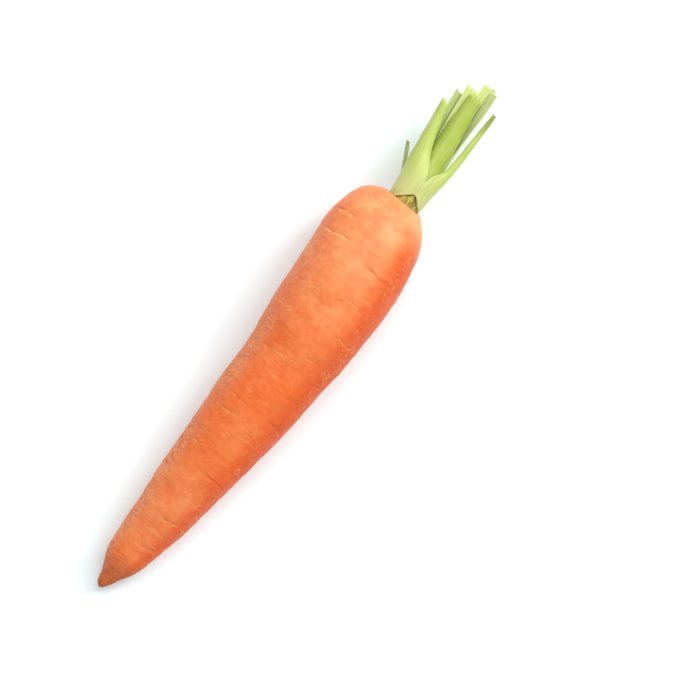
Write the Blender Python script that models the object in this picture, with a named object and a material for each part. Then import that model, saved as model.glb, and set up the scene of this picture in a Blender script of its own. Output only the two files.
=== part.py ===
"""A carrot as picked and trimmed, lying on its side.

The taproot runs along X with its tip at -X and its crown at +X. The leaf stalks were cut off a few
centimetres above the crown, and their bases clasp one another round a small stem stub.
Metres, +Z up. The origin is under the middle of the carrot, on the surface that it lies on.
"""

import math
from collections import namedtuple

import bmesh
import bpy
from mathutils import Matrix, Vector

MM = 0.001
STRIP = "strip"

# Taproot. Each station is (distance from the tip, half-width, sideways drift) in millimetres. The last
# five turn in over the rim of the crown, into the shallow dish that the stem stub grows from.
ROOT_STATIONS = (
    (0.0, 1.2, 0.0),
    (2.0, 2.6, -0.1),
    (4.2, 3.2, -0.2),
    (6.8, 4.4, -0.5),
    (10.0, 6.2, -0.6),
    (14.0, 7.4, -0.8),
    (20.0, 8.4, -0.9),
    (30.0, 9.9, -1.4),
    (42.0, 11.3, -1.6),
    (60.0, 13.0, -1.9),
    (80.0, 14.8, -2.3),
    (100.0, 15.9, -2.3),
    (110.0, 17.1, -1.9),
    (120.0, 17.8, -1.1),
    (130.0, 18.2, -0.8),
    (140.0, 18.6, 0.0),
    (150.0, 18.1, 1.2),
    (157.0, 16.8, 1.6),
    (162.0, 15.1, 2.0),
    (165.2, 13.0, 2.3),
    (167.4, 10.3, 2.2),
    (168.6, 8.3, 1.6),
    (168.9, 7.2, 1.0),
    (168.4, 6.3, 0.8),
    (167.6, 3.6, 0.8),
)
ROOT_RINGS_PER_STATION = 2
ROOT_SIDES = 32
WIDEST_X, WIDEST_HALF = 140.0, 18.6
DISH_FLOOR_X = 167.5
TIP_X = -0.4
FLAT_DEPTH = 0.35  # how far the underside is flattened where it bears on the table
TIP_LIFT, TIP_LENGTH = 3.0, 30.0  # how far the tip clears the table, and over what length

# Crown: the middle of the leaf rosette. Everything beyond the root is placed from here.
CROWN_X, CROWN_Y = 169.0, 0.8
CROWN_Z = WIDEST_HALF - FLAT_DEPTH + 0.3

# Stem stub: (distance beyond the crown, radius) from the floor of the dish to the top of the dome.
STUB_PROFILE = ((-1.0, 3.4), (-0.5, 4.3), (0.8, 4.6), (2.4, 4.5), (3.8, 3.6), (4.8, 2.0))
STUB_TOP, STUB_SIDES = 5.2, 24

# Leaf stalks. A stalk's section is a crescent: its back is an arc, and its inner side is a channel.
# A station is (distance beyond the crown, y, z, width, facing, arc): where the middle of the crescent
# is, how wide it is, which way its back faces and how far it curls. Angles are in degrees round the
# crown's axis, 0 towards +Y and 90 up. A foot clasps the stem stub in the outer or the inner ring.
OUTER_RING, INNER_RING = (0.2, 5.75), (5.7, 3.65)  # distance beyond the crown, radius


def foot(ring, facing, arc):
    """The station that a stalk starts from, on a ring round the crown's axis."""
    beyond, radius = ring
    out = math.radians(facing)
    width = 2 * radius * math.sin(math.radians(arc) / 2)
    return (beyond, radius * math.cos(out), radius * math.sin(out), width, facing, arc)


Stalk = namedtuple("Stalk", "name stations thickness slant")
STALKS = (
    Stalk(
        "outer_left_stalk",
        (
            foot(OUTER_RING, 47, 116),
            (11.0, 5.6, 4.4, 9.8, 49, 110),
            (21.0, 7.7, 3.7, 5.4, 66, 104),
            (36.0, 10.7, 3.6, 3.1, 72, 96),
        ),
        1.5,
        0.35,
    ),
    Stalk(
        "outer_right_stalk",
        (
            foot(OUTER_RING, 150, 84),
            (11.0, -4.9, 3.6, 6.9, 133, 92),
            (17.0, -5.7, 2.4, 4.1, 127, 98),
            (23.0, -6.0, 1.6, 3.0, 122, 100),
            (43.0, -5.7, 1.3, 1.4, 110, 96),
        ),
        1.3,
        0.30,
    ),
    Stalk(
        "under_right_stalk",
        (foot(OUTER_RING, 228, 64), (21.0, -1.2, -4.9, 5.4, 258, 90), (49.6, 1.5, -3.7, 4.8, 265, 90)),
        1.4,
        -0.10,
    ),
    Stalk(
        "under_left_stalk",
        (foot(OUTER_RING, 303, 79), (21.0, 7.0, -0.9, 3.4, 325, 90), (42.0, 9.5, -0.7, 2.4, 300, 90)),
        1.2,
        0.20,
    ),
    Stalk(
        "centre_stalk",
        (foot(INNER_RING, 92, 120), (21.0, 0.6, 1.9, 7.2, 92, 90), (43.0, 3.2, 2.4, 4.6, 92, 96)),
        1.5,
        0.10,
    ),
    Stalk(
        "inner_left_stalk",
        (foot(INNER_RING, 283, 90), (21.0, 2.3, -2.6, 5.6, 285, 90), (45.4, 5.3, -1.0, 6.2, 275, 90)),
        1.4,
        0.15,
    ),
    Stalk(
        "inner_right_stalk",
        (foot(INNER_RING, 193, 70), (21.0, -2.9, -2.1, 2.7, 222, 90), (48.6, -1.5, -1.3, 2.6, 240, 90)),
        1.2,
        -0.25,
    ),
)
MARGIN_SHARE = 0.3  # thickness of a stalk's margins beside its middle
STALK_RINGS = 13
ARC_POINTS = 8

# The torn notch in the outer stalks' feet, where an older leaf came off.
NOTCH_ANGLE, NOTCH_HALF_ARC, NOTCH_DEPTH = 104.0, 60.0, 4.4
NOTCH_LENGTH = 9.0  # the notch fades out this far beyond the foot

# Side stub: what is left of a small leaf stalk, from its foot to its cut end, seen from the crown.
SIDE_STUB_FOOT = (0.9, 3.4, -6.5)
SIDE_STUB_END = (17.8, 12.2, -2.8)
SIDE_STUB_RADII = (0.75, 0.5)
SIDE_STUB_SIDES = 12

COLOURS = {  # linear base colour, roughness
    "skin": ((0.86, 0.24, 0.06), 0.45),
    "stub": ((0.42, 0.30, 0.07), 0.80),
    "pale stalk": ((0.58, 0.68, 0.22), 0.45),
    "green stalk": ((0.38, 0.55, 0.08), 0.42),
}
STALK_COLOURS = {"centre_stalk": "green stalk"}


def clear_scene():
    for old in list(bpy.data.objects):
        bpy.data.objects.remove(old)


def material(name):
    """A Principled material with one of the carrot's colours."""
    made = bpy.data.materials.get(name) or bpy.data.materials.new(name)
    made.use_nodes = True
    shader = made.node_tree.nodes["Principled BSDF"]
    colour, roughness = COLOURS[name]
    shader.inputs["Base Color"].default_value = (*colour, 1.0)
    shader.inputs["Roughness"].default_value = roughness
    shader.inputs["Metallic"].default_value = 0.0
    return made


def add_piece(name, rings, caps, colour, parent):
    """One named object: rings of points in millimetres, bridged in turn and closed by a cap at each end.

    A cap is the x of a pole in the middle of the ring, or STRIP for a crescent, whose back is bridged
    to its channel.
    """
    shell = bmesh.new()
    loops = [add_loop(shell, ring) for ring in rings]
    for low, high in zip(loops, loops[1:]):
        bmesh.ops.bridge_loops(shell, edges=low + high)
    for loop, cap in ((loops[0], caps[0]), (loops[-1], caps[1])):
        if cap == STRIP:
            half = len(loop) // 2
            bmesh.ops.bridge_loops(shell, edges=loop[:half - 1] + loop[half:-1])
        else:
            face = bmesh.ops.contextual_create(shell, geom=loop)["faces"]
            pole = bmesh.ops.poke(shell, faces=face)["verts"][0]
            pole.co.x = cap * MM
    bmesh.ops.recalc_face_normals(shell, faces=shell.faces)
    mesh = bpy.data.meshes.new(name)
    shell.to_mesh(mesh)
    shell.free()
    mesh.shade_smooth()
    mesh.set_sharp_from_angle(angle=math.radians(50))
    piece = bpy.data.objects.new(name, mesh)
    piece.data.materials.append(material(colour))
    piece.parent = parent
    bpy.context.scene.collection.objects.link(piece)
    return piece


def add_loop(shell, ring):
    """The edges of a closed loop through the points of a ring, in order."""
    corners = [shell.verts.new(Vector(point) * MM) for point in ring]
    return [shell.edges.new(pair) for pair in zip(corners, corners[1:] + corners[:1])]


def smooth_between(a, b, c, d, share):
    """Catmull-Rom point between tuples b and c, at a share of the way."""
    u, uu, uuu = share, share**2, share**3
    return tuple(
        0.5 * (2 * q + (r - p) * u + (2 * p - 5 * q + 4 * r - s) * uu + (3 * q - p - 3 * r + s) * uuu)
        for p, q, r, s in zip(a, b, c, d)
    )


def refine(stations, steps):
    """The stations with smooth ones set between them, `steps` for each stretch."""
    padded = (stations[0], *stations, stations[-1])
    made = []
    for i in range(len(stations) - 1):
        made += [smooth_between(*padded[i:i + 4], k / steps) for k in range(steps)]
    return made + [stations[-1]]


def root_axis_height(x, half_width):
    """Height of the root's centreline: its underside lies along the table up to the widest place."""
    if x > WIDEST_X:
        return WIDEST_HALF - FLAT_DEPTH
    near_tip = max(0.0, 1.0 - x / TIP_LENGTH)
    return half_width - FLAT_DEPTH * (1.0 - near_tip) + TIP_LIFT * near_tip**2


def add_taproot(parent):
    rings = []
    for x, half_width, drift in refine(ROOT_STATIONS, ROOT_RINGS_PER_STATION):
        height = root_axis_height(x, half_width)
        flat = math.acos(min(1.0, height / half_width))
        flat = max(flat, math.pi / ROOT_SIDES)  # half the angle between the corners of the flat
        step = 2 * (math.pi - flat) / (ROOT_SIDES - 1)
        turns = [flat - math.pi / 2 + k * step for k in range(ROOT_SIDES)]
        rings.append([
            (x, drift + half_width * math.cos(t), height + half_width * math.sin(t)) for t in turns
        ])
    return add_piece("taproot", rings, (TIP_X, DISH_FLOOR_X), "skin", parent)


def add_stem_stub(parent):
    rings = []
    for beyond, radius in refine(STUB_PROFILE, 2):
        turns = (2 * math.pi * k / STUB_SIDES for k in range(STUB_SIDES))
        rings.append([
            (CROWN_X + beyond, CROWN_Y + radius * math.cos(t), CROWN_Z + radius * math.sin(t)) for t in turns
        ])
    poles = (CROWN_X + STUB_PROFILE[0][0], CROWN_X + STUB_TOP)
    return add_piece("stem_stub", rings, poles, "stub", parent)


def section(beyond, y, z, width, facing, arc, thickness):
    """A crescent across a stalk: its back from margin to margin, then its channel the other way."""
    half_arc = math.radians(arc) / 2
    radius = width / (2 * math.sin(half_arc))
    out = math.radians(facing)
    hub_y, hub_z = y - radius * math.cos(out), z - radius * math.sin(out)
    back, channel = [], []
    for k in range(ARC_POINTS):
        share = 2 * k / (ARC_POINTS - 1) - 1
        turn = out + share * half_arc
        wall = thickness * (1 - (1 - MARGIN_SHARE) * share**2) / 2
        for side, reach in ((back, radius + wall), (channel, radius - wall)):
            side.append((beyond, hub_y + reach * math.cos(turn), hub_z + reach * math.sin(turn)))
    return back + channel[::-1]


def notch_depth(y, z):
    """How far the torn notch sets back the foot of an outer stalk at this place round the crown."""
    angle = math.degrees(math.atan2(z, y)) % 360
    return NOTCH_DEPTH * max(0.0, 1.0 - abs(angle - NOTCH_ANGLE) / NOTCH_HALF_ARC)


def add_stalk(stalk, parent):
    start, last = stalk.stations[0][0], stalk.stations[-1]
    steps = (STALK_RINGS - 1) // (len(stalk.stations) - 1)
    rings = []
    for station in refine(stalk.stations, steps):
        ring = section(*station, stalk.thickness)
        if start == OUTER_RING[0]:
            fade = max(0.0, 1.0 - (station[0] - start) / NOTCH_LENGTH)
            ring = [(b + fade * notch_depth(y, z), y, z) for b, y, z in ring]
        rings.append(ring)
    rings[-1] = [(b + stalk.slant * (y - last[1]), y, z) for b, y, z in rings[-1]]
    placed = [[(CROWN_X + b, CROWN_Y + y, CROWN_Z + z) for b, y, z in ring] for ring in rings]
    colour = STALK_COLOURS.get(stalk.name, "pale stalk")
    return add_piece(stalk.name, placed, (STRIP, STRIP), colour, parent)


def add_side_stub(parent):
    crown = Vector((CROWN_X, CROWN_Y, CROWN_Z))
    start, end = crown + Vector(SIDE_STUB_FOOT), crown + Vector(SIDE_STUB_END)
    along = (end - start).normalized()
    side = along.cross(Vector((0, 0, 1))).normalized()
    up = side.cross(along)
    rings = []
    for centre, radius in zip((start, end), SIDE_STUB_RADII):
        turns = (2 * math.pi * k / SIDE_STUB_SIDES for k in range(SIDE_STUB_SIDES))
        rings.append([centre + radius * (math.cos(t) * side + math.sin(t) * up) for t in turns])
    return add_piece("side_stub", rings, (start.x, end.x), "pale stalk", parent)


def stand_on_origin(carrot):
    """Moves the whole carrot so that the origin is on the table, under the middle of its box."""
    bpy.context.view_layer.update()
    corners = [piece.matrix_world @ Vector(c) for piece in carrot.children for c in piece.bound_box]
    low = Vector(map(min, *corners))
    high = Vector(map(max, *corners))
    carrot.matrix_world = Matrix.Translation((-(low.x + high.x) / 2, -(low.y + high.y) / 2, -low.z))


def main():
    clear_scene()
    carrot = bpy.data.objects.new("carrot", None)
    bpy.context.scene.collection.objects.link(carrot)
    add_taproot(carrot)
    add_stem_stub(carrot)
    for stalk in STALKS:
        add_stalk(stalk, carrot)
    add_side_stub(carrot)
    stand_on_origin(carrot)


main()
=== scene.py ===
"""A carrot with trimmed leaf stalks, laid out as an add-on with one operator for each kind of piece.

Every place is worked out from the CAD frame: the crown's centre from the stem stub's box, and distances
along the root from the taproot's box. +X runs from the tip to the crown, and +Z is up.
"""

import math
import random
from collections import namedtuple
from functools import partial

import bmesh
import bpy
import numpy as np
from bpy.props import FloatProperty, FloatVectorProperty, IntProperty, PointerProperty
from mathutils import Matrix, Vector, noise


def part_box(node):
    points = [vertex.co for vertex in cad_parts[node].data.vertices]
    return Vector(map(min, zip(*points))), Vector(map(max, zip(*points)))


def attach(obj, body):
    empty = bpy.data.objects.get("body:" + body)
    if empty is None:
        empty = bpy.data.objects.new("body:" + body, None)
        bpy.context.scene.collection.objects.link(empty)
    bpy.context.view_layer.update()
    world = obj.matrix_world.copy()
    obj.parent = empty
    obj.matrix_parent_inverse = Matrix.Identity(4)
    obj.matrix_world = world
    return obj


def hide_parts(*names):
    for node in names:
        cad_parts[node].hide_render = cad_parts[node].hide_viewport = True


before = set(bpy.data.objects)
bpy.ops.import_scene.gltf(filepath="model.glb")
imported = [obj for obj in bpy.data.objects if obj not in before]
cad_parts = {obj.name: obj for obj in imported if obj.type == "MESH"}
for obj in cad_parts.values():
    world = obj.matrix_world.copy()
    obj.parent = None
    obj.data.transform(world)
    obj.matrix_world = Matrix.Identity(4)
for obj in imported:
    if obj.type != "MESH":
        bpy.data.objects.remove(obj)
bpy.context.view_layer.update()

bl_info = {
    "name": "Trimmed Carrot",
    "version": (1, 0, 0),
    "blender": (4, 5, 0),
    "location": "3D View > Sidebar > Carrot",
    "description": "Models a carrot with its crown and its trimmed leaf stalks",
    "category": "Add Mesh",
}

MM = 0.001
ROOT_LOW, ROOT_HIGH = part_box("taproot")
STUB_LOW, STUB_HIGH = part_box("stem_stub")
STUB_FOOT = 1.0  # the stub's foot is this far inside the crown, in millimetres
STUB_MIDDLE = (STUB_LOW + STUB_HIGH) / 2
CROWN = Vector((STUB_LOW.x + STUB_FOOT * MM, STUB_MIDDLE.y, STUB_MIDDLE.z))
CROWN_FROM_TIP, CROWN_DRIFT = 169.0, 0.8  # where the crown's centre is, in the stations' terms
FLAT_DEPTH = 0.35  # how much of the root's underside is pressed flat

# Taproot: (distance from the tip, half-width, sideways drift) in millimetres.
ROOT_STATIONS = (
    (-0.3, 1.3, 0.3),
    (2.0, 2.5, 0.1),
    (4.2, 3.0, -0.2),
    (6.8, 4.4, -0.5),
    (10.0, 6.2, -0.6),
    (14.0, 7.4, -0.8),
    (20.0, 8.4, -0.9),
    (30.0, 9.9, -1.4),
    (42.0, 11.3, -1.6),
    (60.0, 13.0, -1.9),
    (80.0, 14.8, -2.3),
    (100.0, 15.9, -2.3),
    (110.0, 17.1, -1.9),
    (120.0, 17.8, -1.1),
    (130.0, 18.2, -0.8),
    (140.0, 18.6, 0.0),
    (150.0, 18.1, 1.2),
    (157.0, 16.8, 1.6),
    (162.0, 15.1, 2.0),
    (165.2, 13.0, 2.3),
    (167.4, 10.3, 2.2),
    (168.6, 8.3, 1.6),
    (168.9, 7.2, 1.0),
    (168.4, 6.3, 0.8),
    (167.6, 3.6, 0.8),
)
ROOT_SIDES, RING_GAP = 28, 4.2
RING_STRETCH, FINE_RING_STRETCH = (1, 2.2, 2.2), (0.8, 1.8, 1.8)
WIDEST_X, WIDEST_HALF = 140.0, 18.6
TIP_LIFT, TIP_LENGTH = 3.0, 30.0
TIP_X, DISH_FLOOR_X = -0.9, 167.5

# Scars across the root: where a side root came away, or the skin was pinched as it swelled.
# Each runs round the root from one angle to the other, with 0 towards +Y and 90 up. It is pale when
# its mark is above 0, and a dark crease when it is below. Lengths are in millimetres.
SCAR_CORE = 0.19  # width of a scar whose line is drawn as wide as the skin's shading has it
Scar = namedtuple("Scar", "along start end slant width mark")
SCARS = [Scar(*row) for row in (
    (145.8, 20, 76, 1.8, 0.36, 1.0),
    (153.8, 16, 62, 1.2, 0.32, 1.0),
    (159.6, 34, 74, 0.6, 0.24, 0.7),
    (164.4, 46, 78, 0.3, 0.16, -0.5),
    (143.3, 92, 138, -0.8, 0.26, -1.0),
    (152.8, 118, 142, 0.6, 0.20, -0.5),
    (130.6, 100, 122, 0.5, 0.18, 0.5),
    (126.4, 34, 52, 0.5, 0.22, -0.6),
    (118.0, 112, 150, -0.6, 0.24, 0.6),
    (112.0, 8, 40, 0.5, 0.22, -0.5),
    (101.4, 40, 84, 1.4, 0.24, 0.8),
    (92.0, 112, 150, 0.6, 0.22, -0.5),
    (81.0, 118, 160, -0.8, 0.20, -0.6),
    (75.6, 40, 86, 0.8, 0.22, 0.8),
    (60.6, 34, 68, 0.8, 0.22, 0.9),
    (61.4, 84, 112, 0.6, 0.16, -0.4),
    (53.4, 84, 164, -1.4, 0.24, -0.9),
    (48.4, 6, 44, 0.4, 0.30, -1.0),
    (40.4, 4, 40, 0.6, 0.22, -0.8),
    (32.6, 84, 136, 1.0, 0.22, 0.8),
    (27.0, 26, 70, 0.6, 0.18, -0.5),
    (21.0, 96, 150, 0.8, 0.20, -0.6),
    (13.0, 40, 88, 0.6, 0.20, 0.5),
    (7.6, 30, 150, -0.5, 0.24, -0.8),
)]

# Leaf stalks. The arc is how far a stalk curls, in degrees. A section is (distance beyond the crown, y, z,
# width, facing): where the middle of its back is, how wide it is, and which way its back faces.
Stalk = namedtuple("Stalk", "node arc wall slant ragged paint sections")
OUTER_RING, INNER_RING = (-0.7, 5.75), (5.7, 3.65)


def foot(ring, facing, arc):
    """The section that a stalk starts from, clasping the stub on a ring round the crown's axis."""
    beyond, radius = ring
    out = math.radians(facing)
    width = 2 * radius * math.sin(math.radians(arc) / 2)
    return (beyond, radius * math.cos(out), radius * math.sin(out), width, facing)


STALKS = (
    Stalk("outer_left_stalk", 124, 1.5, 0.35, 0.6, "sheath", (
        foot(OUTER_RING, 49, 124),
        (11.0, 5.3, 4.8, 10.8, 54),
        (21.0, 7.7, 3.7, 5.6, 66),
        (36.0, 10.7, 3.6, 3.2, 72),
    )),
    Stalk("outer_right_stalk", 90, 1.3, 0.30, 0.3, "sheath", (
        foot(OUTER_RING, 149, 90),
        (11.0, -4.9, 3.5, 7.0, 133),
        (17.0, -5.9, 2.2, 3.4, 127),
        (23.0, -6.0, 1.6, 2.7, 122),
        (43.0, -5.7, 1.3, 1.5, 110),
    )),
    Stalk("under_right_stalk", 56, 1.4, -0.10, 1.0, "pale", (
        foot(OUTER_RING, 228, 64),
        (21.0, -1.2, -3.9, 5.4, 258),
        (49.6, 1.5, -1.4, 4.8, 265),
    )),
    Stalk("under_left_stalk", 62, 1.2, 0.20, 0.6, "grey", (
        foot(OUTER_RING, 303, 79),
        (21.0, 6.6, -0.9, 4.2, 325),
        (42.0, 9.0, -0.7, 3.4, 290),
    )),
    Stalk("centre_stalk", 104, 1.5, 0.10, 0.9, "green", (
        foot(INNER_RING, 92, 120),
        (11.0, -0.2, 3.5, 7.4, 94),
        (21.0, 0.6, 2.3, 7.6, 92),
        (43.0, 3.2, 2.4, 4.8, 92),
    )),
    Stalk("inner_left_stalk", 64, 1.4, 0.15, 0.8, "pale", (
        foot(INNER_RING, 283, 90),
        (21.0, 2.3, -2.2, 5.6, 285),
        (45.4, 5.3, 0.2, 6.2, 275),
    )),
    Stalk("inner_right_stalk", 84, 1.2, -0.25, 0.5, "grey", (
        foot(INNER_RING, 193, 70),
        (21.0, -3.0, -1.2, 3.0, 215),
        (48.6, -1.1, -0.3, 2.6, 255),
    )),
)
STALK_RINGS, ARC_STEPS = 24, 10
MARGIN_SHARE = 0.3  # thickness of a stalk's margins, as a share of its wall
FRAYED_LENGTH, TOOTH_WIDTH, TOOTH_HEIGHT = 0.0025, 0.00075, 0.0026
NOTCH_ANGLE, NOTCH_HALF_ARC, NOTCH_DEPTH, NOTCH_LENGTH = 104.0, 64.0, 5.4, 10.0

# What is left of older leaves inside the notch: (facing, arc, length, radius at the foot, at the point).
LEAF_BASES = (
    (106, 96, 4.4, 5.30, 5.2),
    (76, 54, 3.2, 5.50, 5.3),
    (140, 56, 3.1, 5.55, 5.3),
    (118, 40, 2.4, 5.70, 5.5),
    (92, 34, 1.9, 5.75, 5.7),
    (154, 30, 1.6, 5.75, 5.7),
    (60, 26, 1.5, 5.75, 5.7),
)
LEAF_BASE_RINGS = 8

# Stem stub: (distance beyond the crown, radius) from the floor of the dish to the top of the dome.
STUB_PROFILE = ((-1.0, 3.3), (-0.6, 4.1), (0.4, 4.55), (1.8, 4.6), (3.0, 4.1), (4.0, 3.1), (4.8, 1.8))
STUB_TOP, STUB_SIDES = 5.1, 32

# Side stub: (distance beyond the crown, y, z, radius) along its middle, from its foot to its cut end.
SIDE_STUB_PATH = (
    (0.9, 3.4, -6.5, 0.75),
    (4.6, 5.2, -5.8, 0.72),
    (8.4, 7.1, -5.0, 0.70),
    (12.0, 9.0, -4.2, 0.80),
    (15.2, 10.7, -3.4, 0.88),
    (17.8, 12.2, -2.8, 0.74),
)
SIDE_STUB_RINGS, SIDE_STUB_SIDES = 10, 14

# Stage: what the camera looks at, as (distance from the tip, sideways drift, height) in millimetres.
VIEW_MIDDLE = (118.3, -14.0, 18.0)
FLOOR_SIZE, FLOOR_GAP = 6.0, 0.05 * MM
SENSOR_WIDTH = 36.0

# Colours that one material alone has, and a user would hardly change.
STRIP_HALF_WIDTH = 0.0045
FIBRE_SHADE = (0.80, 0.86, 0.66)  # what a stalk's colour is multiplied by between its fibres
THREAD_GAP = (0.24, 0.28, 0.06)
WORN_FOOT = (0.36, 0.28, 0.06)
AGED_END = (0.22, 0.28, 0.035)
BROWNED_CUT = (0.32, 0.28, 0.10)
WITHERED = (0.38, 0.42, 0.18)


# ---- what a user may change


def colour_setting(name, description, default):
    return FloatVectorProperty(name=name, description=description, default=default, subtype="COLOR")


def length_setting(name, description, default):
    return FloatProperty(name=name, description=description, default=default, unit="LENGTH")


class RootSettings(bpy.types.PropertyGroup):
    """Sizes and colours of the taproot."""

    lumps: length_setting("Lumps", "Height of the broad lumps in the root's surface", 0.0009)
    rings: length_setting("Rings", "Height of the low ridges across the root", 0.00042)
    scar_depth: length_setting("Scar depth", "Depth of the scars across the root", 0.0004)
    small_scars: IntProperty(
        name="Small scars", description="Number of short scars scattered over the root", default=150
    )
    skin: colour_setting("Skin", "Main colour of the skin", (0.76, 0.162, 0.038))
    # This colour also lays the painted highlight on the top of the shoulder.
    pale_skin: colour_setting("Pale skin", "Colour of the pale blotches and shoulder", (0.83, 0.36, 0.145))
    # This colour also paints the shade down the -Y side.
    deep_skin: colour_setting("Deep skin", "Colour of the deep blotches", (0.68, 0.080, 0.004))
    scar: colour_setting("Scar", "Colour of the pale scars", (0.86, 0.44, 0.17))
    # This colour also paints the shade along the edges of the scars.
    crack_and_shade: colour_setting("Crack", "Colour of the creases and the fine cracks", (0.52, 0.085, 0.012))
    dry: colour_setting("Dry skin", "Colour of the brown specks, the tip and the dish", (0.30, 0.085, 0.030))
    # This colour also paints a sheen that lightens the +Y side.
    chalk_and_sheen: colour_setting("Chalky skin", "Colour of the dry pale speckle at the sides", (0.74, 0.36, 0.23))


class StalkSettings(bpy.types.PropertyGroup):
    """Sizes and colours of the leaf stalks."""

    ribs: IntProperty(name="Ribs", description="Number of ribs along the back of each stalk", default=7)
    rib_height: length_setting("Rib height", "Height of the ribs", 0.00012)
    foot_colour: colour_setting("Foot", "Colour of the stalks beside the crown", (0.52, 0.535, 0.205))
    sheath: colour_setting("Sheath", "Colour of the two outer stalks", (0.435, 0.53, 0.085))
    green: colour_setting("Green stalk", "Colour of the stalk in the middle", (0.335, 0.425, 0.022))
    pale: colour_setting("Pale stalks", "Colour of the long stalks underneath", (0.62, 0.68, 0.25))
    grey: colour_setting("Grey stalks", "Colour of the stalks that have begun to dry", (0.45, 0.51, 0.21))
    flesh: colour_setting("Flesh", "Colour of the cut ends and the thin margins", (0.68, 0.73, 0.38))


class CrownSettings(bpy.types.PropertyGroup):
    """Sizes and colours of the crown's stub and of the old leaf bases."""

    relief: length_setting("Relief", "Height of the strands on the stub", 0.0009)
    base_wall: length_setting("Leaf base thickness", "Thickness of the old leaf bases", 0.0004)
    straw: colour_setting("Straw", "Colour of the dry fibres", (0.62, 0.50, 0.13))
    olive: colour_setting("Olive", "Colour of the leaf bases where they are not yet dry", (0.46, 0.37, 0.045))
    bark: colour_setting("Bark", "Colour between the fibres", (0.16, 0.10, 0.02))


class StageSettings(bpy.types.PropertyGroup):
    """The floor, the lights and the camera."""

    floor: colour_setting("Floor", "Colour of the floor", (0.87, 0.965, 0.987))
    sky: FloatProperty(name="Sky", description="Strength of the light from all round", default=0.66)
    overhead: FloatProperty(
        name="Overhead", description="Power of the wide soft light overhead", default=8.6, unit="POWER"
    )
    side: FloatProperty(
        name="Side", description="Power of the smaller light beside the crown", default=9.6, unit="POWER"
    )
    lens: FloatProperty(name="Lens", description="Focal length of the camera, in millimetres", default=200.0)
    view_width: length_setting("View width", "Width of the view at the root's middle", 0.2375)
    roll: FloatProperty(
        name="Roll",
        description="Angle from the bottom of the view to the carrot",
        default=math.radians(51.28),
        subtype="ANGLE",
    )


# ---- modelling by hand


def smooth_between(a, b, c, d, share):
    """Catmull-Rom point between tuples b and c, at a share of the way."""
    u, uu, uuu = share, share**2, share**3
    return tuple(
        0.5 * (2 * q + (r - p) * u + (2 * p - 5 * q + 4 * r - s) * uu + (3 * q - p - 3 * r + s) * uuu)
        for p, q, r, s in zip(a, b, c, d)
    )


def smooth_at(stations, share):
    """The section at a share of the way along a row of sections."""
    padded = (stations[0], *stations, stations[-1])
    place = share * (len(stations) - 1)
    i = min(int(place), len(stations) - 2)
    return smooth_between(*padded[i:i + 4], place - i)


def fill_gaps(stations, gap):
    """The stations with smooth ones set between them wherever two are further apart than the gap."""
    padded = (stations[0], *stations, stations[-1])
    made = []
    for i in range(len(stations) - 1):
        steps = max(1, round((stations[i + 1][0] - stations[i][0]) / gap))
        made += [smooth_between(*padded[i:i + 4], k / steps) for k in range(steps)]
    return made + [stations[-1]]


def deselect_all():
    bpy.ops.object.select_all(action="DESELECT")


def edit():
    """Goes into edit mode with everything selected."""
    bpy.ops.object.mode_set(mode="EDIT")
    bpy.ops.mesh.select_all(action="SELECT")


def leave_edit():
    bpy.ops.object.mode_set(mode="OBJECT")


def name_new(name):
    """Names the object just added, and puts its place into its mesh."""
    bpy.ops.object.transform_apply(location=True, rotation=True, scale=True)
    piece = bpy.context.active_object
    piece.name = name
    piece.data.name = name
    return piece


def close_ring(shift):
    """Closes the selected ring with a fan, whose middle is moved along X."""
    bpy.ops.mesh.edge_face_add()
    bpy.ops.mesh.poke()
    shape = bmesh.from_edit_mesh(bpy.context.active_object.data)
    picked = [point for point in shape.verts if point.select]
    middle = max(picked, key=lambda point: sum(face.select for face in point.link_faces))
    middle.co.x += shift
    bmesh.update_edit_mesh(bpy.context.active_object.data)


def pick_points(wanted):
    """In edit mode, selects the points whose place passes the test."""
    bpy.ops.mesh.select_all(action="DESELECT")
    piece = bpy.context.active_object
    shape = bmesh.from_edit_mesh(piece.data)
    for point in shape.verts:
        point.select = wanted(point.co)
    shape.select_flush(True)
    bmesh.update_edit_mesh(piece.data)


def tube(name, rings, sides, start_shift, end_shift):
    """A closed tube through a row of (centre, radius): a ring across X, extruded and closed."""
    first, reach = rings[0]
    deselect_all()
    turn = (0, math.pi / 2, 0)
    bpy.ops.mesh.primitive_circle_add(vertices=sides, radius=reach, location=first, rotation=turn)
    piece = name_new(name)
    edit()
    for (here, radius), (there, next_radius) in zip(rings, rings[1:]):
        bpy.ops.mesh.extrude_region_move(TRANSFORM_OT_translate={"value": there - here})
        grow = next_radius / radius
        bpy.ops.transform.resize(value=(grow, grow, grow), center_override=there)
    close_ring(end_shift)
    pick_points(lambda place: (place - first).length < reach * 1.05)
    close_ring(start_shift)
    bpy.ops.mesh.select_all(action="SELECT")
    bpy.ops.mesh.normals_make_consistent(inside=False)
    leave_edit()
    return piece


def make_active(piece):
    deselect_all()
    piece.select_set(True)
    bpy.context.view_layer.objects.active = piece


def apply_modifier(piece, kind, **settings):
    make_active(piece)
    modifier = piece.modifiers.new(kind.title(), kind)
    for name, value in settings.items():
        setattr(modifier, name, value)
    bpy.ops.object.modifier_apply(modifier=modifier.name)


def roughen(piece, size, height, stretch=(1, 1, 1), direction="NORMAL", group=""):
    """Displaces a piece by clouds of a size, drawn out along each axis by the stretch."""
    pattern = bpy.data.textures.new("clouds", "CLOUDS")
    pattern.noise_scale = 1.0
    pattern.noise_depth = 2
    deselect_all()
    bpy.ops.object.empty_add(location=(0.013, 0.007, 0.011))
    measure = bpy.context.active_object
    measure.scale = Vector(stretch) * size
    bpy.context.view_layer.update()
    reading = {"texture": pattern, "texture_coords": "OBJECT", "texture_coords_object": measure}
    apply_modifier(piece, "DISPLACE", strength=height, direction=direction, vertex_group=group, **reading)
    bpy.data.objects.remove(measure)
    bpy.data.textures.remove(pattern)


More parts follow.
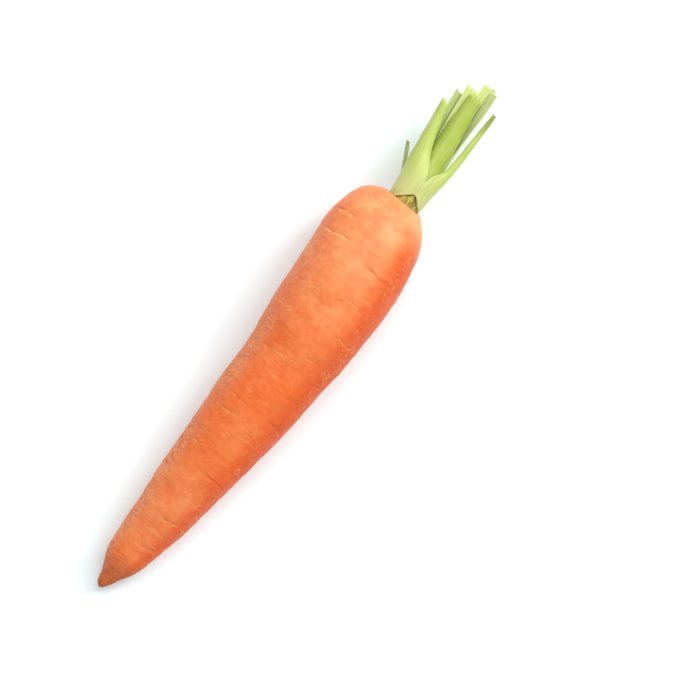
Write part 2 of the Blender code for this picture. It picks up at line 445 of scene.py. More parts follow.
def rolled_strip(name, arc, sections, steps, start=0.0):
    """A strip curled to an arc across X, and drawn out through a row of (hub, radius, facing).

    The hub is the middle of the arc's circle. Each point is given its distance from the foot as the
    attribute "along", counted from the start, and its share of the half-arc as "across".
    """
    hub, radius, facing = sections[0]
    half_arc = math.radians(arc) / 2
    edge = facing + half_arc
    deselect_all()
    place = hub + Vector((0, math.cos(edge), math.sin(edge))) * radius
    bpy.ops.mesh.primitive_plane_add(size=radius, location=place)
    piece = name_new(name)
    piece.data.attributes.new("along", "FLOAT", "POINT")
    piece.data.attributes.new("across", "FLOAT", "POINT")
    edit()
    bpy.ops.mesh.merge(type="CENTER")
    bpy.ops.mesh.spin(steps=steps, angle=2 * half_arc, center=hub, axis=(1, 0, 0))
    bpy.ops.mesh.select_all(action="SELECT")
    mark_ring(sections[0], half_arc, start)
    for (here, size, turned), (there, next_size, next_turned) in zip(sections, sections[1:]):
        bpy.ops.mesh.extrude_region_move(TRANSFORM_OT_translate={"value": there - here})
        bpy.ops.transform.rotate(value=turned - next_turned, orient_axis="X", center_override=there)
        grow = next_size / size
        bpy.ops.transform.resize(value=(1, grow, grow), center_override=there)
        mark_ring((there, next_size, next_turned), half_arc, start + there.x - hub.x)
    leave_edit()
    return piece


def mark_ring(section, half_arc, along):
    """Writes the places on the strip of the selected points."""
    hub, radius, facing = section
    piece = bpy.context.active_object
    shape = bmesh.from_edit_mesh(piece.data)
    layers = shape.verts.layers.float
    for point in shape.verts:
        if point.select:
            arm = point.co - hub
            turn = (math.atan2(arm.z, arm.y) - facing + math.pi) % (2 * math.pi) - math.pi
            point[layers["along"]] = along
            point[layers["across"]] = turn / half_arc
    bmesh.update_edit_mesh(piece.data)


def thicken(piece, outwards, wall, share, crease):
    """Gives a strip its wall, which thins towards its margins, and rounds it."""
    make_active(piece)
    face = piece.data.polygons[len(piece.data.polygons) // 2]
    if face.normal.dot(outwards) < 0:
        edit()
        bpy.ops.mesh.flip_normals()
        leave_edit()
    flesh = set_group(piece, "flesh", 1 - point_values(piece, "across") ** 2)
    thinning = {"vertex_group": flesh, "thickness_vertex_group": share}
    creases = {"edge_crease_rim": crease, "edge_crease_inner": crease, "edge_crease_outer": crease}
    inside = {"material_offset": 1, "material_offset_rim": 1}
    apply_modifier(piece, "SOLIDIFY", thickness=wall, offset=0.0, **thinning, **creases, **inside)
    apply_modifier(piece, "SUBSURF", levels=2, render_levels=2)


def point_places(piece):
    """The places of a mesh's points, as rows of x, y and z."""
    places = np.empty(len(piece.data.vertices) * 3, np.float32)
    piece.data.vertices.foreach_get("co", places)
    return places.reshape(-1, 3)


def point_values(piece, name):
    values = np.empty(len(piece.data.vertices), np.float32)
    piece.data.attributes[name].data.foreach_get("value", values)
    return values


def set_attribute(piece, name, values):
    layer = piece.data.attributes.new(name, "FLOAT", "POINT")
    layer.data.foreach_set("value", np.asarray(values, np.float32))


def set_group(piece, name, weights):
    """A vertex group with a weight for each point; points of no weight are left out."""
    group = piece.vertex_groups.new(name=name)
    for index in np.flatnonzero(np.asarray(weights) > 0.001):
        group.add([int(index)], float(weights[index]), "REPLACE")
    return group.name


def finish_piece(piece, slot, *paints):
    """Gives a piece its materials and its smooth shading, and lets it ride on the root. The slot is not used.
    """
    for paint in paints:
        piece.data.materials.append(paint)
    piece.data.shade_smooth()
    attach(piece, "root")


# ---- materials


class Field:
    """A node's output that can be used in sums, each of which adds a maths node.

    What + gives is held between 0 and 1, and what - gives may be below 0.
    """

    def __init__(self, socket):
        self.socket = socket
        self.tree = socket.id_data

    def maths(self, operation, *values):
        settings = {"operation": operation, "use_clamp": operation == "ADD"}
        node = add_node(self.tree, "Math", settings)
        for socket, value in zip(node.inputs, values):
            fill(socket, value)
        return Field(node.outputs[0])

    def __add__(self, other):
        return self.maths("ADD", self, other)

    def __sub__(self, other):
        return self.maths("SUBTRACT", self, other)

    def __rsub__(self, other):
        return self.maths("SUBTRACT", other, self)

    def __mul__(self, other):
        return self.maths("MULTIPLY", self, other)

    def __truediv__(self, other):
        return self.maths("DIVIDE", self, other)

    def __rtruediv__(self, other):
        return self.maths("DIVIDE", other, self)

    def __abs__(self):
        return self.maths("ABSOLUTE", self)


def fill(socket, value):
    """Links a field to a socket, or sets a plain value on it."""
    if isinstance(value, Field):
        value.tree.links.new(value.socket, socket)
    elif socket.type == "RGBA":
        socket.default_value = (*value, 1.0)
    else:
        socket.default_value = value


def fill_inputs(node, **inputs):
    """Fills a node's sockets by name, with an underscore for each space in the name."""
    for name, value in inputs.items():
        fill(node.inputs[name.replace("_", " ")], value)


def add_node(tree, kind, settings=None, **inputs):
    node = tree.nodes.new("ShaderNode" + kind)
    for name, value in (settings or {}).items():
        setattr(node, name, value)
    fill_inputs(node, **inputs)
    return node


def larger(first, second):
    return first.maths("MAXIMUM", first, second)


def mix(share, low, high, mode="MIX"):
    """A colour that goes from the low one to the high one as the share goes from 0 to 1."""
    tree = next(value.tree for value in (share, low, high) if isinstance(value, Field))
    node = add_node(tree, "Mix", {"data_type": "RGBA", "blend_type": mode})
    for number, value in ((0, share), (6, low), (7, high)):
        fill(node.inputs[number], value)
    return Field(node.outputs[2])


def layered(colour, *layers):
    """A colour under layers of (share, colour), each of which is laid over the ones before it."""
    for share, over in layers:
        colour = mix(share, colour, over)
    return colour


def ramp(value, low, high):
    """0 below the low value and 1 above the high one, or the other way when they are swapped."""
    below, above = (1.0, 0.0) if low > high else (0.0, 1.0)
    low, high = sorted((low, high))
    node = add_node(value.tree, "MapRange", {"interpolation_type": "SMOOTHSTEP"}, Value=value)
    fill_inputs(node, From_Min=low, From_Max=high, To_Min=below, To_Max=above)
    return Field(node.outputs["Result"])


def clouds(vector, scale, **inputs):
    node = add_node(vector.tree, "TexNoise", Vector=vector, Scale=scale, **inputs)
    return Field(node.outputs["Fac"])


def new_group(name, **inputs):
    """A shader node group with a Vector and named numbers going in, and a Mask coming out."""
    tree = bpy.data.node_groups.new(name, "ShaderNodeTree")
    tree.interface.new_socket("Vector", in_out="INPUT", socket_type="NodeSocketVector")
    for socket_name, value in inputs.items():
        socket = tree.interface.new_socket(socket_name, in_out="INPUT", socket_type="NodeSocketFloat")
        socket.default_value = value
    tree.interface.new_socket("Mask", in_out="OUTPUT", socket_type="NodeSocketFloat")
    given = {socket.name: Field(socket) for socket in tree.nodes.new("NodeGroupInput").outputs}
    return tree, given, tree.nodes.new("NodeGroupOutput").inputs["Mask"]


def mottle_group():
    """Soft blotches: 0 to 1, with an edge as sharp as asked, where the noise passes the middle value."""
    tree, given, mask = new_group("Mottle", Size=0.01, Edge=2.0, Middle=0.5, Detail=2.0)
    cloudy = clouds(given["Vector"], 1 / given["Size"], Detail=given["Detail"], Roughness=0.55)
    fill(mask, (cloudy - given["Middle"]) * given["Edge"] + 0.5)
    return tree


def strand_group():
    """Fine strands in which a few dark gaps run: 1 on a strand and 0 in a gap."""
    tree, given, mask = new_group("Strands", Size=0.001, Width=0.03, Share=0.5)
    scale = 1 / given["Size"]
    height = abs(clouds(given["Vector"], scale, Detail=2.0) - 0.5)
    line = ramp(height / given["Width"], 1.0, 0.2)
    patches = clouds(given["Vector"], scale * 0.37, Detail=2.0)
    kept = ramp(patches - (1 - given["Share"]), 0.0, 0.12)
    fill(mask, 1 - line * kept)
    return tree


def speck_group():
    """Small round specks in a share of the cells of a scatter."""
    tree, given, mask = new_group("Specks", Size=0.003, Share=0.3, Radius=0.25)
    cells = add_node(tree, "TexVoronoi", Vector=given["Vector"], Scale=1 / given["Size"]).outputs
    spot = ramp(Field(cells["Distance"]) / given["Radius"], 1.0, 0.3)
    parts = add_node(tree, "SeparateColor", Color=Field(cells["Color"])).outputs
    kept = spot.maths("LESS_THAN", Field(parts["Red"]), given["Share"])
    fill(mask, spot * kept)
    return tree


GROUP_MAKERS = {"Mottle": mottle_group, "Strands": strand_group, "Specks": speck_group}


def effect(name, vector, **inputs):
    """The mask of one of the shared effects, placed in a material with its own values."""
    group = bpy.data.node_groups.get(name) or GROUP_MAKERS[name]()
    node = add_node(vector.tree, "Group", {"node_tree": group}, Vector=vector, **inputs)
    return Field(node.outputs["Mask"])


mottle = partial(effect, "Mottle")
strands = partial(effect, "Strands")
specks = partial(effect, "Specks")


def stretched(vector, stretch, shift=(0, 0, 0)):
    """Coordinates in which a pattern comes out drawn along each axis by the stretch."""
    scale = tuple(1 / value for value in stretch)
    node = add_node(vector.tree, "Mapping", Vector=vector, Scale=scale, Location=shift)
    return Field(node.outputs["Vector"])


def attribute(place, name):
    return Field(add_node(place.tree, "Attribute", {"attribute_name": name}).outputs["Fac"])


def axis(place, letter):
    return Field(add_node(place.tree, "SeparateXYZ", Vector=place).outputs[letter])


def beyond_crown(place):
    """Metres beyond the crown's centre along X, which are below 0 on the root."""
    return axis(place, "X") - CROWN.x


def strip_place(place):
    """Places on a rolled strip: metres along it, and metres across it where it is widest."""
    along, across = attribute(place, "along"), attribute(place, "across") * STRIP_HALF_WIDTH
    return Field(add_node(place.tree, "CombineXYZ", X=along, Y=across).outputs["Vector"])


def new_material(name):
    """A material, its shader, and the place in the frame for its patterns to read."""
    paint = bpy.data.materials.new(name)
    paint.use_nodes = True
    place = Field(add_node(paint.node_tree, "TexCoord").outputs["Object"])
    return paint, paint.node_tree.nodes["Principled BSDF"], place


def bump(shader, height, strength, distance=0.0003, sunk=False):
    """Adds a bump, or a hollow, to the ones that the shader already has."""
    node = add_node(height.tree, "Bump", {"invert": sunk}, Height=height)
    fill_inputs(node, Strength=strength, Distance=distance)
    below = shader.inputs["Normal"].links
    if below:
        fill(node.inputs["Normal"], Field(below[0].from_socket))
    fill(shader.inputs["Normal"], Field(node.outputs["Normal"]))


def skin_material(colours):
    """Carrot skin: blotched orange, with scars, faint rings, dry patches at the sides and a brown tip, and
    painted light: a highlight on the top of the shoulder, a sheen on the +Y side, shade down the -Y side and
    shade along the scars.
    """
    paint, shader, place = new_material("carrot skin")
    ringed = stretched(place, (1, 4, 4))
    colour = skin_blotches(place, ringed, colours)
    colour, lines, cracks = skin_scars(place, ringed, colour, colours)
    colour, dryness, speckle = skin_dry_patches(place, colour, colours)
    colour = skin_specks(place, colour, colours)

    fine = mottle(place, Size=0.0013, Detail=3.0)
    roughness = fine * 0.14 + 0.36 + dryness * 0.25
    fill_inputs(shader, Base_Color=colour, Roughness=roughness, Specular_IOR_Level=0.24)
    fill_inputs(shader, Subsurface_Weight=0.08, Subsurface_Radius=(1.0, 0.30, 0.10), Subsurface_Scale=0.0015)
    bump(shader, mottle(ringed, Size=0.0034, Edge=1.6, Detail=4.0), 0.14, distance=0.0005)
    bump(shader, fine, 0.30)
    bump(shader, cracks, 0.35, sunk=True)
    bump(shader, lines, 0.35, sunk=True)
    bump(shader, speckle * dryness, 0.60)
    return paint


def skin_blotches(place, ringed, colours):
    """The broad colours: pale towards the crown, deep orange patches, a painted highlight on the top of the
    shoulder, and painted shade that makes one side deeper.
    """
    broad = mottle(stretched(place, (1.3, 1, 1), (0.31, 0.1, 0)), Size=0.021, Edge=2.6, Detail=3.0)
    middling = mottle(stretched(place, (1, 1.2, 1.2), (0.3, 0, 0)), Size=0.0085, Edge=3.0, Detail=4.0)
    fine = mottle(place, Size=0.0021, Edge=2.2, Detail=3.0)
    bands = mottle(ringed, Size=0.0030, Edge=2.2, Detail=4.0)
    sideways = attribute(place, "sideways")
    beyond = beyond_crown(place)
    below_rim = ramp(beyond, -0.003, -0.016)
    # The pale towards the crown is held back at the sides, so that it is brightest on the top: partly the
    # shoulder's own paler skin, partly a painted highlight from the light overhead.
    beside = ramp(abs(sideways - 0.05), 0.30, 0.85) * below_rim
    pale = ramp(beyond, -0.074, -0.022) * (broad * 0.42 + 0.42) * (1 - beside * 0.68)
    from_tip_end = axis(place, "X") - ROOT_LOW.x
    belt = ramp(from_tip_end, 0.004, 0.036) * ramp(from_tip_end, 0.058, 0.044)
    # Painted shade: the skin deepens down the -Y side, away from the light.
    right = ramp(sideways, -0.35, -0.80) * below_rim
    colour = layered(
        colours.skin,
        # pale skin towards the crown, with the painted highlight on the top of the shoulder
        (pale + broad * 0.24 + belt * 0.36, colours.pale_skin),
        (middling * 0.50, colours.deep_skin),
        # painted shade down the -Y side
        (right * 0.85, colours.deep_skin),
    )
    colour = mix(1.0, colour, mix(bands, (0.97, 0.94, 0.92), (1.02, 1.05, 1.06)), "MULTIPLY")
    return mix(1.0, colour, mix(fine, (0.93, 0.88, 0.85), (1.04, 1.10, 1.12)), "MULTIPLY")


def skin_scars(place, ringed, colour, colours):
    """The scars that the mesh marks, with painted shade along their edges, and the short faint lines between
    them.
    """
    jitter = mottle(place, Size=0.0012, Edge=1.0)
    offset = abs(attribute(place, "scar_offset")) - larger(jitter - 0.5, 0.0) * 0.5
    core = ramp(offset, 0.30, 0.10)
    # The rim round each scar's groove is darkened below: painted shade along the groove's edges.
    rim = ramp(offset, 0.75, 0.40) * (1 - core)
    pale = attribute(place, "scar_pale")
    dark = attribute(place, "scar_dark")
    light_line = core * pale * mottle(place, Size=0.0016, Edge=3.0, Middle=0.42)
    dark_line = core * dark

    dashes = mottle(ringed, Size=0.0019, Edge=9.0, Middle=0.69)
    cracks = mottle(stretched(place, (1, 7, 7), (0.2, 0.4, 0)), Size=0.0016, Edge=9.0, Middle=0.69)
    colour = layered(
        colour,
        (dashes * 0.26, colours.scar),
        (cracks * 0.24, colours.crack_and_shade),
        # painted shade along the edges of the scars' grooves
        (rim * larger(pale, dark) * 0.22, colours.crack_and_shade),
        (dark_line * 0.80, colours.crack_and_shade),
        (light_line * 0.85, colours.scar),
    )
    return colour, larger(dark_line, light_line * 0.4), cracks


def skin_dry_patches(place, colour, colours):
    """Chalky speckle on the +Y side, with a painted sheen that lightens that side, brown speckle along both
    sides, and the brown tip.
    """
    sideways = attribute(place, "sideways")
    ragged = mottle(stretched(place, (1.8, 1, 1), (0.045, 0.02, 0)), Size=0.010, Edge=4.5, Middle=0.47)
    # The +Y side: dry chalky speckle, and a painted sheen that lightens that side.
    left = ramp(sideways, 0.50, 0.85) * ramp(beyond_crown(place), -0.018, -0.040) * ragged
    right = ramp(sideways, -0.50, -0.90) * ragged
    sides = larger(left, right)
    tip = ramp(axis(place, "X") - ROOT_LOW.x, 0.017, 0.001)
    speckle = mottle(stretched(place, (1, 2.4, 2.4)), Size=0.0012, Edge=6.0, Middle=0.54)
    brown = mottle(stretched(place, (1, 1.8, 1.8), (0.1, 0, 0)), Size=0.0013, Edge=6.0, Middle=0.55)
    smooth = strands(stretched(place, (1, 1.5, 1.5)), Size=0.0016, Width=0.07, Share=0.60)
    crinkled = (1 - smooth) * sides * mottle(place, Size=0.0009, Edge=6.0, Middle=0.52)
    commas = specks(stretched(place, (1, 2.4, 1.6)), Size=0.0024, Share=0.42, Radius=0.17)

    colour = layered(
        colour,
        # chalky speckle and painted sheen on the +Y side
        (left * (speckle * 0.26 + 0.22), colours.chalk_and_sheen),
        (sides * brown * 0.46, colours.crack_and_shade),
        (crinkled * 0.45, colours.scar),
        (tip * (brown * 0.45 + 0.32), colours.dry),
        (commas * (right * 0.45 + 0.12), colours.scar),
    )
    return colour, larger(larger(left, right * 0.5), tip), speckle


def skin_specks(place, colour, colours):
    """Scattered brown dots, the pores of the shoulder, and the brown dish."""
    dots = specks(stretched(place, (1, 2, 2)), Size=0.0050, Share=0.07, Radius=0.08)
    pores = specks(stretched(place, (1, 1.6, 1.6)), Size=0.0014, Share=0.6, Radius=0.24)
    shoulder = ramp(beyond_crown(place), -0.012, -0.003)
    lower = shoulder * ramp(attribute(place, "sideways"), -0.35, -0.80)
    distance = add_node(place.tree, "VectorMath", {"operation": "DISTANCE"}, Vector=place)
    fill(distance.inputs[1], CROWN)
    dish = ramp(Field(distance.outputs["Value"]), 0.0084, 0.0060)
    return layered(
        colour,
        (dots * 0.50, colours.dry),
        (lower * 0.26, colours.scar),
        (shoulder * (lower + 0.35) * pores, colours.dry),
        (dish * 0.8, colours.dry),
    )


def stalk_material(name, body, colours):
    """A stalk's back: pale at the foot and the margins, with fine fibres along it."""
    paint, shader, place = new_material(name)
    beyond = beyond_crown(place)
    sheet = strip_place(place)
    drawn = stretched(sheet, (22, 1, 1))
    fibres = mottle(drawn, Size=0.00075, Edge=2.6, Detail=3.0)
    threads = strands(drawn, Size=0.0016, Width=0.035, Share=0.55)
    blotches = mottle(place, Size=0.005, Edge=2.2, Detail=3.0)
    streaks = mottle(stretched(sheet, (9, 1, 1)), Size=0.0022, Edge=2.4)

    worn = ramp(beyond, 0.0042, 0.0004) * mottle(place, Size=0.0016, Edge=4.0)
    apart = ramp(axis(place, "Y"), CROWN.y - 0.0030, CROWN.y - 0.0045)
    margin = ramp(abs(attribute(place, "across")), 0.72, 1.0)
    colour = layered(
        tuple(value * share for value, share in zip(body, FIBRE_SHADE)),
        (fibres * 0.55 + 0.30, body),
        (streaks * 0.22, colours.foot_colour),
        (blotches * 0.14, colours.flesh),
        (ramp(beyond, 0.018, 0.001) * 0.9, colours.foot_colour),
        (worn * 0.55, WORN_FOOT),
        (apart * ramp(beyond, 0.031, 0.041) * 0.85, AGED_END),
        (margin * 0.15, colours.flesh),
        ((1 - threads) * 0.22, THREAD_GAP),
    )
    fill_inputs(shader, Base_Color=colour, Roughness=0.42, Subsurface_Weight=0.20)
    fill_inputs(shader, Subsurface_Radius=(0.8, 1.0, 0.25), Subsurface_Scale=0.0012)
    bump(shader, fibres, 0.35)
    bump(shader, threads, 0.35)
    return paint


def flesh_material(name, colours):
    """Cut ends and thin margins: pale, moist flesh with the ends of the fibres in it."""
    paint, shader, place = new_material(name)
    pores = specks(stretched(place, (4, 1, 1)), Size=0.0006, Share=0.6, Radius=0.3)
    colour = layered(
        colours.flesh,
        (mottle(place, Size=0.0015), colours.foot_colour),
        (pores * 0.4, colours.green),
        (mottle(place, Size=0.0011, Edge=7.0, Middle=0.64) * 0.45, BROWNED_CUT),
    )
    fill_inputs(shader, Base_Color=colour, Roughness=0.45, Subsurface_Weight=0.25)
    fill_inputs(shader, Subsurface_Radius=(0.8, 1.0, 0.3), Subsurface_Scale=0.0012)
    bump(shader, pores, 0.3, distance=0.0002)
    return paint


def fibre_material(name, colours, on_strip):
    """Dry torn fibres, which run along a strip or straight away from the crown."""
    paint, shader, place = new_material(name)
    drawn = stretched(strip_place(place) if on_strip else place, (9, 1, 1))
    fibres = mottle(drawn, Size=0.0009, Edge=3.6, Detail=3.0)
    gaps = strands(drawn, Size=0.0024, Width=0.06, Share=0.66)
    colour = layered(
        colours.olive,
        (fibres, colours.straw),
        (mottle(place, Size=0.0022, Edge=3.0) * 0.35, colours.olive),
        ((1 - gaps) * 0.95, colours.bark),
    )
    fill_inputs(shader, Base_Color=colour, Roughness=0.72)
    bump(shader, fibres, 0.6, distance=0.0004)
    bump(shader, gaps, 0.7, distance=0.0004)
    return paint


def withered_material(colours, crown_colours):
    """The side stub: grey-green, with a dark dry end."""
    paint, shader, place = new_material("withered stalk")
    fibres = mottle(stretched(place, (8, 1, 1)), Size=0.0006, Edge=3.0, Detail=3.0)
    dry_end = ramp(beyond_crown(place), 0.0155, 0.018)
    colour = layered(WITHERED, (fibres, colours.grey), (dry_end * 0.55, crown_colours.bark))
    fill_inputs(shader, Base_Color=colour, Roughness=0.6)
    bump(shader, fibres, 0.5)
    return paint


def floor_material(colour):
    """A plain pale board with a barely visible grain."""
    paint, shader, place = new_material("pale floor")
    soft = mottle(place, Size=0.05, Edge=1.0)
    low = tuple(value * 0.99 for value in colour)
    fill_inputs(shader, Base_Color=mix(soft, low, colour), Roughness=0.9, Specular_IOR_Level=0.2)
    return paint


def shared_material(maker, name, *given):
    """The material of that name, made the first time it is asked for."""
    return bpy.data.materials.get(name) or maker(name, *given)


# ---- the pieces


def root_axis_height(x, half_width):
    """Height of the root's centreline: its underside lies along the table up to the widest place."""
    if x > WIDEST_X:
        return WIDEST_HALF - FLAT_DEPTH
    near_tip = max(0.0, 1.0 - x / TIP_LENGTH)
    return half_width - FLAT_DEPTH * (1.0 - near_tip) + TIP_LIFT * near_tip**2


def from_tip(x, drift, height):
    """The place in the frame of a point given in millimetres from the tip."""
    return Vector((
        CROWN.x + (x - CROWN_FROM_TIP) * MM,
        CROWN.y + (drift - CROWN_DRIFT) * MM,
        height * MM,
    ))


def root_rings():
    """(centre, radius) of every ring of the root, in the frame."""
    rings = []
    for x, half_width, drift in fill_gaps(ROOT_STATIONS, RING_GAP):
        rings.append((from_tip(x, drift, root_axis_height(x, half_width)), half_width * MM))
    return rings


def round_the_root(places):
    """Each point's distance from the tip in millimetres, and its angle round the root in degrees."""
    body = [ring for ring in root_rings() if ring[0].x < CROWN.x - 0.002]
    axis_x = [centre.x for centre, radius in body]
    middle_y = np.interp(places[:, 0], axis_x, [centre.y for centre, radius in body])
    middle_z = np.interp(places[:, 0], axis_x, [centre.z for centre, radius in body])
    angle = np.degrees(np.arctan2(places[:, 2] - middle_z, places[:, 1] - middle_y)) % 360
    return (places[:, 0] - CROWN.x) / MM + CROWN_FROM_TIP, angle


def scattered_scars(count):
    """Short faint scars all round the root, more of them towards the tip."""
    chance = random.Random(7)
    made = []
    for _ in range(count):
        start = chance.uniform(0, 360)
        made.append(Scar(
            along=4 + 162 * chance.random() ** 1.15,
            start=start,
            end=start + chance.uniform(8, 34),
            slant=chance.uniform(-0.8, 0.8),
            width=chance.uniform(0.12, 0.22),
            mark=chance.choice((-0.4, -0.3, 0.3, 0.4, 0.5)),
        ))
    return made


class ScarMarks:
    """Marks the scars on the root's points: how far each is from its nearest scar, and how strong that is."""

    def __init__(self, places):
        self.along, self.angle = round_the_root(places)
        self.offset = np.full(len(places), 3.0)
        self.pale = np.zeros(len(places))
        self.dark = np.zeros(len(places))
        self.groove = np.zeros(len(places))

    def add(self, scar):
        share = ((self.angle - scar.start) % 360) / (scar.end - scar.start)
        inside = np.clip(share, 0, 1)
        wander = 0.22 * np.sin(inside * 9 + scar.along) + 0.10 * np.sin(inside * 21 + scar.start)
        offset = self.along - scar.along - scar.slant * (inside - 0.5) - wander
        swell = 0.75 + 0.25 * np.sin(inside * 14 + scar.along * 3)
        fade = np.where(share < 1, np.sin(np.pi * inside) ** 0.5, 0) * swell
        reach = scar.width / SCAR_CORE
        near = fade * np.clip(2.4 - np.abs(offset / reach) * 1.7, 0, 1)
        nearer = (near > 0) & (np.abs(offset / reach) < np.abs(self.offset))
        self.offset[nearer] = offset[nearer] / reach
        self.pale[nearer] = max(0.0, scar.mark) * near[nearer]
        self.dark[nearer] = max(0.0, -scar.mark) * near[nearer]
        self.groove = np.maximum(self.groove, abs(scar.mark) * fade * np.exp(-(offset / (0.5 * reach)) ** 2))


class CARROT_OT_taproot(bpy.types.Operator):
    """Models the root with its lumps, rings and scars"""

    bl_idname = "carrot.taproot"
    bl_label = "Taproot"

    def execute(self, context):
        settings = context.scene.carrot_root
        tip_shift = (TIP_X - ROOT_STATIONS[0][0]) * MM
        dish_shift = (DISH_FLOOR_X - ROOT_STATIONS[-1][0]) * MM
        root = tube("root_skin", root_rings(), ROOT_SIDES, tip_shift, dish_shift)
        apply_modifier(root, "SUBSURF", levels=3, render_levels=3)
        roughen(root, size=0.020, height=settings.lumps)
        roughen(root, size=0.0062, height=settings.rings, stretch=RING_STRETCH)
        roughen(root, size=0.0024, height=settings.rings / 2, stretch=FINE_RING_STRETCH)

        marks = ScarMarks(point_places(root))
        for scar in (*scattered_scars(settings.small_scars), *SCARS):
            marks.add(scar)
        grooves = set_group(root, "grooves", marks.groove)
        set_attribute(root, "scar_offset", marks.offset)
        set_attribute(root, "scar_pale", marks.pale)
        set_attribute(root, "scar_dark", marks.dark)
        set_attribute(root, "sideways", np.cos(np.radians(marks.angle)))
        apply_modifier(root, "DISPLACE", strength=-settings.scar_depth, mid_level=0.0, vertex_group=grooves)
        self.press_flat(root)
        finish_piece(root, "skin", skin_material(settings))
        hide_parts("taproot")
        return {"FINISHED"}

    def press_flat(self, root):
        """Flattens what would be under the table."""
        make_active(root)
        edit()
        pick_points(lambda place: place.z < 0)
        bpy.ops.transform.resize(value=(1, 1, 0), center_override=(0, 0, 0))
        leave_edit()


def facing_out(degrees):
    """The direction, across X, of an angle with 0 towards +Y and 90 up."""
    return Vector((0, math.cos(math.radians(degrees)), math.sin(math.radians(degrees))))


class CARROT_OT_stalks(bpy.types.Operator):
    """Models the leaf stalks, each a strip curled round its channel"""

    bl_idname = "carrot.stalks"
    bl_label = "Leaf stalks"

    def execute(self, context):
        settings = context.scene.carrot_stalks
        for number, stalk in enumerate(STALKS):
            self.model(stalk, number, settings)
        return {"FINISHED"}

    def model(self, stalk, number, settings):
        sections = self.arcs(stalk)
        name = stalk.node.replace("_stalk", "_sheath")
        sheath = rolled_strip(name, stalk.arc, sections, ARC_STEPS, start=0.1 * number)
        self.trim(sheath, stalk)
        thicken(sheath, facing_out(stalk.sections[1][4]), stalk.wall * MM, MARGIN_SHARE, 0.7)
        self.rib(sheath, settings)
        self.fray(sheath, stalk)
        body = getattr(settings, stalk.paint)
        back = shared_material(stalk_material, f"{stalk.paint} stalk", body, settings)
        flesh = shared_material(flesh_material, "stalk flesh", settings)
        finish_piece(sheath, "green_stalk" if stalk.paint == "green" else "pale_stalk", back, flesh)
        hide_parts(stalk.node)

    def arcs(self, stalk):
        """(hub, radius, facing) of each ring of a stalk, in the frame."""
        found = []
        for k in range(STALK_RINGS + 1):
            beyond, y, z, width, facing = smooth_at(stalk.sections, k / STALK_RINGS)
            radius = width / (2 * math.sin(math.radians(stalk.arc) / 2))
            hub = CROWN + (Vector((beyond, y, z)) - facing_out(facing) * radius) * MM
            found.append((hub, radius * MM, math.radians(facing)))
        return found

    def trim(self, sheath, stalk):
        """Cuts the torn notch into an outer stalk's foot, and slants the cut end."""
        first, last = stalk.sections[0], stalk.sections[-1]
        length = (last[0] - first[0]) * MM
        for point in sheath.data.vertices:
            beyond, y, z = (point.co - CROWN) / MM
            near_end = max(0.0, (beyond - last[0]) * MM / length * 4 + 1)
            point.co.x += stalk.slant * (y - last[1]) * near_end * MM
            if first[0] == OUTER_RING[0]:
                point.co.x += self.notch(beyond, y, z) * MM

    def notch(self, beyond, y, z):
        """How far the torn notch sets back this point of an outer stalk."""
        angle = math.degrees(math.atan2(z, y)) % 360
        depth = NOTCH_DEPTH * max(0.0, 1.0 - abs(angle - NOTCH_ANGLE) / NOTCH_HALF_ARC)
        depth += 0.6 * noise.noise((angle * 0.13, 0.3, 0.7)) * min(depth, 1.0)
        return depth * max(0.0, 1.0 - (beyond - OUTER_RING[0]) / NOTCH_LENGTH)

    def rib(self, sheath, settings):
        """Raises ribs along the stalk, which fade at its margins."""
        across = point_values(sheath, "across")
        wave = 0.5 + 0.5 * np.cos(np.pi * settings.ribs * across)
        ribs = set_group(sheath, "ribs", wave * np.clip(1 - across**4, 0, 1))
        apply_modifier(sheath, "DISPLACE", strength=settings.rib_height, mid_level=0.5, vertex_group=ribs)

    def fray(self, sheath, stalk):
        """Tears the cut end into small uneven teeth, and wrinkles the whole stalk a little."""
        end = CROWN.x + stalk.sections[-1][0] * MM
        near_end = np.clip(1 - (end - point_places(sheath)[:, 0]) / FRAYED_LENGTH, 0, 1) ** 1.5
        ends = set_group(sheath, "ends", near_end)
        teeth = stalk.ragged * TOOTH_HEIGHT
        roughen(sheath, size=TOOTH_WIDTH, height=teeth, stretch=(12, 1, 1), direction="X", group=ends)
        roughen(sheath, size=0.0040, height=0.0005, stretch=(3, 1, 1))


